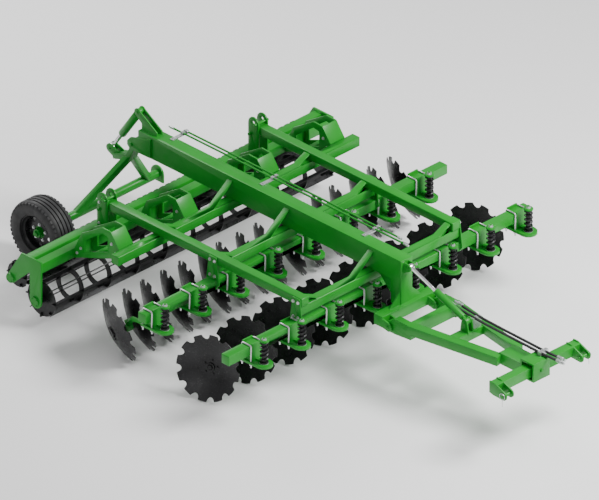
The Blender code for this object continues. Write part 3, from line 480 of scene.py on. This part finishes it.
def disc_blade():
    body = bmesh.new()
    rows = []
    for step in range(RIM_STEPS):
        angle = 2 * math.pi * step / RIM_STEPS
        rim = notched_radius(angle)
        row = []
        for ring in range(DISH_RINGS + 1):
            share = (ring - 1) / (DISH_RINGS - 1)
            radius = DISC_FLAT + (rim - DISC_FLAT) * share if ring else HUB_RADIUS * 0.5
            spot = (radius * math.cos(angle), radius * math.sin(angle), dish_height(radius))
            row.append(body.verts.new(spot))
        rows.append(row)
    for step in range(RIM_STEPS):
        first, second = rows[step], rows[(step + 1) % RIM_STEPS]
        for i in range(DISH_RINGS):
            body.faces.new((first[i], first[i + 1], second[i + 1], second[i]))
    mesh = mesh_from(body)

    def thicken(obj):
        wall = obj.modifiers.new("wall", "SOLIDIFY")
        wall.thickness = DISC_THICK
        wall.offset = 0

    return applied(mesh, thicken)


def bolt_ring(body, face, way, size):
    for number in range(HUB_BOLTS):
        angle = 2 * math.pi * number / HUB_BOLTS
        x, y = HUB_BOLT_CIRCLE * math.cos(angle), HUB_BOLT_CIRCLE * math.sin(angle)
        hex_bolt(body, (x, y, face), (0, 0, way), size)


def disc_hub():
    """The flange behind the disc, and its bolts and cap in the hollow."""
    body = bmesh.new()
    back = -DISC_DISH - DISC_THICK / 2 - FLANGE_DEPTH - 0.0005
    cylinder(body, (0, 0, back), (0, 0, -DISC_DISH), HUB_RADIUS, 32)
    face = -DISC_DISH + DISC_THICK / 2
    cylinder(body, (0, 0, face - 0.002), (0, 0, face + 0.010), 0.036, 32, 0.033)
    cylinder(body, (0, 0, face + 0.008), (0, 0, face + 0.020), 0.024, 32, 0.016)
    bolt_ring(body, face, 1, 0.009)
    return mesh_from(body)


def pair_axle():
    """The boss and axle that carry the second disc of a pair, and the first's bolts."""
    body = bmesh.new()
    back = -DISC_DISH - DISC_THICK / 2
    flange = PAIR_SPACING + back - FLANGE_DEPTH
    cylinder(body, (0, 0, -DISC_DISH), (0, 0, flange - HOUSING_ROOM), PAIR_BOSS, 32)
    cylinder(body, (0, 0, 0), (0, 0, flange + 0.005), PAIR_AXLE, 24)
    bolt_ring(body, back, -1, 0.008)
    return mesh_from(body)


def discs():
    blade = disc_blade()
    hub = disc_hub()
    pair = pair_axle()
    for node in sorted(name for name in slot_of if slot_of[name] == "disc_steel"):
        joint = joints[f"{node}_spin"]
        turn = Vector(joint["axis"]).to_track_quat("Z", "Y").to_matrix().to_4x4()
        phase = Matrix.Rotation(DISC_PHASE * int(node[-1]), 4, "Z")
        at_rim = Matrix.Translation(joint["pos_m"]) @ turn @ phase
        piece(f"{node}_blade", blade, node, "disc_steel", (node,), at_rim)
        piece(f"{node}_hub", hub, node, "disc_steel", (), at_rim)
        if "pair" in node:
            beyond = Matrix.Translation((0, 0, PAIR_SPACING))
            at_second = at_rim @ beyond @ Matrix.Rotation(PAIR_PHASE, 4, "Z")
            piece(f"{node}_second_blade", blade, node, "disc_steel", (), at_second)
            piece(f"{node}_second_hub", hub, node, "disc_steel", (), at_second)
            piece(f"{node}_axle", pair, node, "disc_steel", (), at_rim)


# Springs, U-bolts and bolts on the arm units. Heights are from the bar's middle.

BAR_HALF_SIDE = 0.040
BAR_MIDDLE_Z = 0.587
SHELF_TOP = -0.087
SHELF_BOTTOM = -0.107
SPRING_TOP = 0.102
SPRING_AHEAD = 0.130
SPRING_RADIUS = 0.0275
SPRING_WIRE = 0.0072
SPRING_TURNS = 6.5
SPRING_CLOSED = 0.8
STEPS_A_TURN = 18
SLEEVE_RADIUS = 0.019
PAD_RADIUS = 0.036
U_BOLT_X = 0.057
U_BOLT_WIRE = 0.0065
U_BOLT_CORNER = 0.012
U_BOLT_PAST_SHELF = 0.032
ARM_KEY_HALF = 0.012


def coil_mesh():
    """A closed-end coil spring round a sleeve, from the shelf to the bolt's washer."""
    low = SHELF_TOP + SPRING_WIRE
    high = SPRING_TOP - SPRING_WIRE
    steps = int(SPRING_TURNS * STEPS_A_TURN)
    points = []
    for step in range(steps + 1):
        turns = step / steps * SPRING_TURNS
        share = (turns - SPRING_CLOSED) / (SPRING_TURNS - 2 * SPRING_CLOSED)
        angle = 2 * math.pi * turns
        points.append((
            SPRING_RADIUS * math.cos(angle),
            -SPRING_AHEAD + SPRING_RADIUS * math.sin(angle),
            low + (high - low) * min(1.0, max(0.0, share)),
        ))
    sleeve = bmesh.new()
    upright_cylinder(sleeve, SHELF_TOP, high, SLEEVE_RADIUS, 20)
    return merged([tube(points, SPRING_WIRE, 8), mesh_from(sleeve)])


def upright_cylinder(body, low, high, radius, sides, end_radius=None):
    """A cylinder on the spring's line."""
    start, end = (0, -SPRING_AHEAD, low), (0, -SPRING_AHEAD, high)
    cylinder(body, start, end, radius, sides, end_radius)


def u_bolt_mesh():
    """Two U-bolts over the bar, and their nuts under the shelf."""
    reach = BAR_HALF_SIDE + U_BOLT_WIRE + 0.001
    corner = U_BOLT_CORNER
    foot = SHELF_BOTTOM - U_BOLT_PAST_SHELF
    meshes = []
    nuts = bmesh.new()
    for x in (-U_BOLT_X, U_BOLT_X):
        points = [(x, -reach, foot), (x, -reach, reach - corner)]
        for step in range(1, 6):
            angle = math.pi / 2 * step / 6
            inward, upward = corner * (1 - math.cos(angle)), corner * math.sin(angle)
            points.append((x, -reach + inward, reach - corner + upward))
        points += [(x, -y, z) for _, y, z in reversed(points)]
        meshes.append(tube(points, U_BOLT_WIRE, 12))
        for y in (-reach, reach):
            hex_bolt(nuts, (x, y, SHELF_BOTTOM), (0, 0, -1), 0.0125)
    return merged(meshes + [mesh_from(nuts)])


def arm_trim_mesh():
    """The heads on the spring's bolt, and the washer under the spring."""
    body = bmesh.new()
    hex_bolt(body, (0, -SPRING_AHEAD, SPRING_TOP + 0.010), (0, 0, 1), 0.017)
    hex_bolt(body, (0, -SPRING_AHEAD, SHELF_BOTTOM), (0, 0, -1), 0.017)
    upright_cylinder(body, SHELF_TOP, SHELF_TOP + 0.004, PAD_RADIUS, 32)
    return mesh_from(body)


def arm_boss_mesh():
    """The rounded cap over the spring, and the key between the spring and the clamp."""
    body = bmesh.new()
    upright_cylinder(body, SPRING_TOP, SPRING_TOP + 0.006, 0.038, 32, 0.036)
    upright_cylinder(body, SPRING_TOP + 0.005, SPRING_TOP + 0.012, 0.030, 32, 0.024)
    across = (-ARM_KEY_HALF, ARM_KEY_HALF)
    along = (-SPRING_AHEAD + 0.010, -BAR_HALF_SIDE - 0.012)
    block(body, across, along, (SHELF_TOP - 0.001, SHELF_TOP + 0.012))
    return mesh_from(body)


def arm_fittings():
    coil, u_bolts = coil_mesh(), u_bolt_mesh()
    trim, boss = arm_trim_mesh(), arm_boss_mesh()
    for row, side in (("front", -1), ("rear", 1)):
        for number in range(1, 9):
            arm = f"{row}_disc_arm_{number}"
            kind = "disc" if row == "front" else "disc_pair"
            rim = joints[f"{row}_{kind}_{number}_spin"]["pos_m"]
            x, y = rim[0] - side * DISC_ASIDE, rim[1] - DISC_BACK
            spot = Matrix.Translation((x, y, BAR_MIDDLE_Z))
            body = body_of[arm]
            piece(f"{arm}_spring", coil, body, "disc_steel", (), spot)
            piece(f"{arm}_u_bolts", u_bolts, body, "pipe_steel", (), spot)
            piece(f"{arm}_nuts", trim, body, "pipe_steel", (), spot)
            piece(f"{arm}_boss", boss, body, "green_paint", (), spot)


# Rollers

ROLLER_HALF = 1.500
END_RING_INSET = 0.020
END_RING_HOLE = 0.018
RING_UNDER_BARS = 0.008
RING_HALF_THICK = 0.004
CAGE_BAR_DEPTH = 0.034
CAGE_BAR_THICK = 0.008
END_ARM_FACE = 1.552
BEARING_BOLTS = 0.031


def comb_bar(body, half, low, high, tooth, pitch, thick):
    """A flat bar along X, with square teeth on its outer edge if it has any."""
    if not tooth:
        return block(body, (-half, half), (low, high), (-thick / 2, thick / 2))
    count = int(2 * half / pitch)
    step = 2 * half / count
    root = high - tooth
    one_tooth = ((0, root), (0.25, root), (0.35, high), (0.90, high), (1, root))
    outline = [(-half, low)]
    for number in range(count):
        x = -half + step * number
        outline += [(x + step * share, y) for share, y in one_tooth]
    outline.append((half, low))
    front = [body.verts.new((x, y, -thick / 2)) for x, y in outline]
    back = [body.verts.new((x, y, thick / 2)) for x, y in outline]
    body.faces.new(front)
    body.faces.new(list(reversed(back)))
    for i in range(len(outline)):
        j = (i + 1) % len(outline)
        body.faces.new((front[i], back[i], back[j], front[j]))
    return front + back


def roller_mesh(place, radius, hole, rings, bars, tooth=0, pitch=0):
    """A cage of rings and bars, with a stub shaft at each end."""
    body = bmesh.new()
    reach = ROLLER_HALF - END_RING_INSET
    rim = radius - RING_UNDER_BARS
    for number in range(rings):
        x = -reach + 2 * reach * number / (rings - 1)
        inner = END_RING_HOLE if number in (0, rings - 1) else hole
        outline = [
            (rim, RING_HALF_THICK), (rim, -RING_HALF_THICK),
            (inner, -RING_HALF_THICK), (inner, RING_HALF_THICK),
        ]
        ring = turned(outline, 48)
        ring.transform(Matrix.Translation((x, 0, 0)) @ Matrix.Rotation(math.pi / 2, 4, "Y"))
        body.from_mesh(ring)
    for number in range(bars):
        low = radius - CAGE_BAR_DEPTH
        made = comb_bar(body, ROLLER_HALF, low, radius, tooth, pitch, CAGE_BAR_THICK)
        turn = Matrix.Rotation(2 * math.pi * number / bars, 4, "X")
        bmesh.ops.transform(body, matrix=turn, verts=made)
    for side in (-1, 1):
        for inward, outward, stub in ((0.050, 0.055, 0.020), (0.030, 0.020, 0.034)):
            start = (side * (ROLLER_HALF - inward), 0, 0)
            end = (side * (ROLLER_HALF + outward), 0, 0)
            cylinder(body, start, end, stub, 32)
    mesh = mesh_from(body)
    mesh.transform(Matrix.Translation(place))
    return mesh


def rollers():
    front = joints["front_roller_spin"]["pos_m"]
    rear = joints["rear_roller_spin"]["pos_m"]
    front_mesh = roller_mesh(front, 0.155, 0.100, 11, 8)
    rear_mesh = roller_mesh(rear, 0.108, 0.060, 7, 6, 0.010, 0.060)
    piece("front_roller_cage", front_mesh, "front_roller", "roller_paint", ("front_roller",))
    piece("rear_roller_cage", rear_mesh, "rear_roller", "roller_paint", ("rear_roller",))
    body = bmesh.new()
    for place in (front, rear):
        for side in (-1, 1):
            face = Vector((side * END_ARM_FACE, place[1], place[2]))
            out = Vector((side, 0, 0))
            cylinder(body, face - out * 0.001, face + out * 0.012, 0.042, 32, 0.038)
            for number in range(4):
                angle = math.pi / 4 + math.pi / 2 * number
                y, z = math.cos(angle), math.sin(angle)
                spot = face + Vector((0, BEARING_BOLTS * y, BEARING_BOLTS * z))
                hex_bolt(body, spot + out * 0.010, out, 0.006)
    piece("roller_bearings", mesh_from(body), body_of["roller_frame"], "green_paint")


# Transport wheel. A profile's points are a radius and a distance from the middle plane.

TYRE_RADIUS = 0.267
TYRE_BEAD = 0.1553
RIM_SEAT = 0.1545
SHOULDER_BLOCKS = 44
WHEEL_NUTS = 5
NUT_CIRCLE = 0.064
HAND_HOLE_CIRCLE = 0.102
HAND_HOLE_RADIUS = 0.018


def tyre_mesh():
    """The carcass, with four grooves round its tread."""
    bead, tread = TYRE_BEAD, TYRE_RADIUS
    right = [
        (bead, 0.078), (bead + 0.004, 0.090), (bead + 0.022, 0.099), (0.205, 0.1020),
        (0.232, 0.1000), (0.248, 0.0930), (0.257, 0.0850), (0.262, 0.0760),
    ]
    for groove in (0.052, 0.018):
        right += [
            (tread - 0.002, groove + 0.013), (tread - 0.001, groove + 0.006),
            (tread - 0.010, groove + 0.003), (tread - 0.010, groove - 0.003),
            (tread - 0.001, groove - 0.006),
        ]
    left = [(radius, -aside) for radius, aside in reversed(right)]
    return turned(right + left + [(bead, -0.060), (bead, 0.060)], 96)


def shoulder_blocks():
    """Tread blocks round both shoulders of the tyre, one side's between the other's."""
    body = bmesh.new()
    for number in range(SHOULDER_BLOCKS):
        for side, offset in ((-1, 0), (1, 0.5)):
            width = sorted((side * 0.060, side * 0.098))
            made = block(body, (0.236, 0.2645), (-0.011, 0.011), width)
            for vertex in made:
                if vertex.co.x > 0.25 and abs(vertex.co.z) > 0.09:
                    vertex.co.x -= 0.012
            turn = Matrix.Rotation(2 * math.pi * (number + offset) / SHOULDER_BLOCKS, 4, "Z")
            bmesh.ops.transform(body, matrix=turn, verts=made)
    return mesh_from(body)


def rim_mesh():
    """The rim and its dished disc, with a hand hole between each two nuts."""
    seat = RIM_SEAT
    outline = [
        (seat, 0.079), (seat, -0.079), (seat - 0.006, -0.079), (seat - 0.010, -0.068),
        (seat - 0.024, -0.058), (seat - 0.028, -0.020), (seat - 0.032, 0.018),
        (0.112, 0.021), (0.078, 0.030), (0.050, 0.030), (0.050, 0.036),
        (0.080, 0.036), (0.114, 0.027), (seat - 0.026, 0.024), (seat - 0.022, 0.058),
        (seat - 0.010, 0.068), (seat - 0.006, 0.079),
    ]
    rim = turned(outline, 80)
    cutter_body = bmesh.new()
    for number in range(WHEEL_NUTS):
        angle = 2 * math.pi * (number + 0.5) / WHEEL_NUTS
        x, y = HAND_HOLE_CIRCLE * math.cos(angle), HAND_HOLE_CIRCLE * math.sin(angle)
        cylinder(cutter_body, (x, y, -0.05), (x, y, 0.08), HAND_HOLE_RADIUS, 24)
    cutter = bpy.data.objects.new("holes", mesh_from(cutter_body))
    bpy.context.scene.collection.objects.link(cutter)

    def cut(obj):
        step = obj.modifiers.new("holes", "BOOLEAN")
        step.operation = "DIFFERENCE"
        step.object = cutter

    made = applied(rim, cut)
    bpy.data.objects.remove(cutter, do_unlink=True)
    return made


def wheel():
    place = joints["transport_wheel_spin"]["pos_m"]
    at_wheel = Matrix.Translation(place) @ Matrix.Rotation(-math.pi / 2, 4, "Y")
    body = "transport_wheel"
    piece("tyre_carcass", tyre_mesh(), body, "tyre_rubber", ("transport_tyre",), at_wheel)
    piece("tyre_shoulder_blocks", shoulder_blocks(), body, "tyre_rubber", (), at_wheel)
    piece("wheel_rim", rim_mesh(), body, "wheel_black", ("transport_wheel_rim",), at_wheel)
    hub = bmesh.new()
    cylinder(hub, (0, 0, -0.060), (0, 0, 0.030), 0.046, 40, 0.052)
    cylinder(hub, (0, 0, 0.034), (0, 0, 0.066), 0.040, 40, 0.034)
    cylinder(hub, (0, 0, 0.064), (0, 0, 0.078), 0.026, 40, 0.018)
    piece("wheel_hub", mesh_from(hub), body, "green_paint", (), at_wheel)
    nuts = bmesh.new()
    for number in range(WHEEL_NUTS):
        angle = 2 * math.pi * number / WHEEL_NUTS
        x, y = NUT_CIRCLE * math.cos(angle), NUT_CIRCLE * math.sin(angle)
        hex_bolt(nuts, (x, y, 0.035), (0, 0, 1), 0.011)
    piece("wheel_nuts", mesh_from(nuts), body, "pipe_steel", (), at_wheel)


# Pipes, hoses and their fittings

HOSE_RADIUS = 0.0105
HOSE_INSET = 0.022
HOSE_Z = 0.6563
HOSE_FRONT_CLAMP = (-2.2185, 0.6423)
HOSE_REAR_CLAMP = (-1.5075, 0.5843)
PIPE_RADIUS = 0.008
PIPE_INSETS = (0.054, 0.016)
PIPE_CLIPS = (-0.3835, 0.6965, 1.6465)


def smooth_path(points, steps=6):
    """A Catmull-Rom curve through the points."""
    padded = [points[0], *points, points[-1]]
    made = []
    for i in range(len(points) - 1):
        a, b, c, d = (Vector(p) for p in padded[i : i + 4])
        for step in range(steps):
            t = step / steps
            square = (2 * a - 5 * b + 4 * c - d) * t * t
            cube = (3 * b - a - 3 * c + d) * t ** 3
            made.append(0.5 * (2 * b + (c - a) * t + square + cube))
    made.append(Vector(points[-1]))
    return made


def coupling(body, start, end, radius):
    """A hose end: a crimped sleeve, a hexagon and a nose."""
    start, end = Vector(start), Vector(end)
    way = end - start
    cylinder(body, start, start + way * 0.45, radius * 1.25, 20)
    cylinder(body, start + way * 0.45, start + way * 0.65, radius * 1.45, 6)
    cylinder(body, start + way * 0.62, end, radius * 0.95, 20)


def hoses():
    """Two hoses on the drawbar, and the two clamps that hold both."""
    low, high = (Vector(corner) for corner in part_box("hydraulic_hoses"))
    xs = (low.x + HOSE_INSET, high.x - HOSE_INSET)
    z = HOSE_Z
    front_clamp, rear_clamp = HOSE_FRONT_CLAMP[0], HOSE_REAR_CLAMP[0]
    meshes = []
    ends = bmesh.new()
    for number, x in enumerate(xs):
        front, rear = low.y + 0.03 * number, high.y - 0.03 * number
        route = [
            (x, front + 0.075, z + 0.005), (x, -2.3335, z + 0.004), (x, front_clamp, z),
            (x, -2.0335, z + 0.003), (x, -1.7335, z + 0.008), (x, rear_clamp, z + 0.016),
            (x, -1.3535, z + 0.030), (x, rear - 0.075, z + 0.040),
        ]
        meshes.append(tube(smooth_path(route), HOSE_RADIUS, 12))
        coupling(ends, (x, front + 0.080, z + 0.006), (x, front, z + 0.006), 0.0108)
        coupling(ends, (x, rear - 0.080, z + 0.040), (x, rear, z + 0.044), 0.0108)
    piece("hoses", merged(meshes), "drawbar", "hose_rubber", ("hydraulic_hoses",))
    piece("hose_ends", mesh_from(ends), "drawbar", "pipe_steel")
    clamps = bmesh.new()
    width = (xs[0] - HOSE_INSET, xs[1] + HOSE_INSET)
    for y, foot in (HOSE_FRONT_CLAMP, HOSE_REAR_CLAMP):
        block(clamps, width, (y - 0.015, y + 0.015), (foot, z + 0.018))
        hex_bolt(clamps, ((xs[0] + xs[1]) / 2, y, z + 0.018), (0, 0, 1), 0.007)
    piece("hose_clamps", mesh_from(clamps), "drawbar", "pipe_steel")


def pipes():
    """Two steel pipes along the spine, on three clip bars."""
    low, high = (Vector(corner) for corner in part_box("hydraulic_pipes"))
    xs = [high.x - inset for inset in PIPE_INSETS]
    z = high.z - 0.013
    runs, ends, clips = [], bmesh.new(), bmesh.new()
    for number, x in enumerate(xs):
        front, rear = low.y + 0.10 * number, high.y - 0.12 * number
        runs.append(tube([(x, front + 0.03, z), (x, rear - 0.03, z)], PIPE_RADIUS, 16))
        coupling(ends, (x, front + 0.05, z), (x, front, z), PIPE_RADIUS)
        coupling(ends, (x, rear - 0.05, z), (x, rear, z), PIPE_RADIUS)
    for y in PIPE_CLIPS:
        block(clips, (low.x, high.x), (y - 0.016, y + 0.016), (low.z, low.z + 0.007))
        hex_bolt(clips, (low.x + 0.022, y, low.z + 0.007), (0, 0, 1), 0.008)
        for x in xs:
            block(clips, (x - 0.012, x + 0.012), (y - 0.012, y + 0.012), (z - 0.004, z + 0.011))
    piece("pipes", merged(runs), "root", "green_paint", ("hydraulic_pipes",))
    piece("pipe_ends", mesh_from(ends), "root", "pipe_steel")
    piece("pipe_clips", mesh_from(clips), "root", "pipe_steel")


# Bolts on the plates, and ring pins

PLATE_FACE = 0.8523
LINK_PIN_END = (0.458, -2.3245, 0.533)
RING_PIN_RADIUS = 0.026


def plate_bolts():
    """Bolts through the bars' hangers, the roller adjusters and the roller brackets."""
    body = bmesh.new()
    for bar in ("front_disc_bar", "rear_disc_bar"):
        low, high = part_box(bar)
        middle_y = (low[1] + high[1]) / 2
        for side in (-1, 1):
            for y in (-0.025, 0.025):
                for z in (0.655, 0.785):
                    hex_bolt(body, (side * PLATE_FACE, middle_y + y, z), (side, 0, 0), 0.012)
    for name in ("right_roller_adjuster", "left_roller_adjuster"):
        low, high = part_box(name)
        side = -1 if low[0] < 0 else 1
        middle_y = (low[1] + high[1]) / 2
        for y, z in ((-0.034, 0.62), (0.034, 0.62), (0.030, 0.800)):
            hex_bolt(body, (side * PLATE_FACE, middle_y + y, z), (side, 0, 0), 0.010)
    for number in range(1, 5):
        low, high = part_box(f"roller_bracket_{number}")
        places = (
            (low[1] + 0.035, 0.705), (low[1] + 0.075, 0.770),
            (high[1] - 0.030, 0.545), (high[1] - 0.070, 0.600),
        )
        for x, out in ((low[0], -1), (high[0], 1)):
            for y, z in places:
                hex_bolt(body, (x, y, z), (out, 0, 0), 0.011)
    piece("plate_bolts", mesh_from(body), "root", "pipe_steel")


def pin_retainers():
    """Ring pins through the free ends of the lower-link pins."""
    meshes = []
    x, y, z = LINK_PIN_END
    for side in (-1, 1):
        centre = Vector((side * x, y, z))
        angles = [2 * math.pi * step / 28 for step in range(28)]
        ring = [Vector((0, math.cos(a), math.sin(a))) * RING_PIN_RADIUS for a in angles]
        meshes.append(tube([centre + spot for spot in ring], 0.0022, 8, True))
        top, foot = Vector((0, 0, RING_PIN_RADIUS)), Vector((0, -0.004, -0.085))
        meshes.append(tube([centre + top, centre + foot], 0.0026, 8))
    piece("link_pin_retainers", merged(meshes), "hitch_cross_shaft", "pipe_steel")


add_camera()
add_surroundings()
rounded_steel()
discs()
arm_fittings()
rollers()
wheel()
hoses()
pipes()
plate_bolts()
pin_retainers()
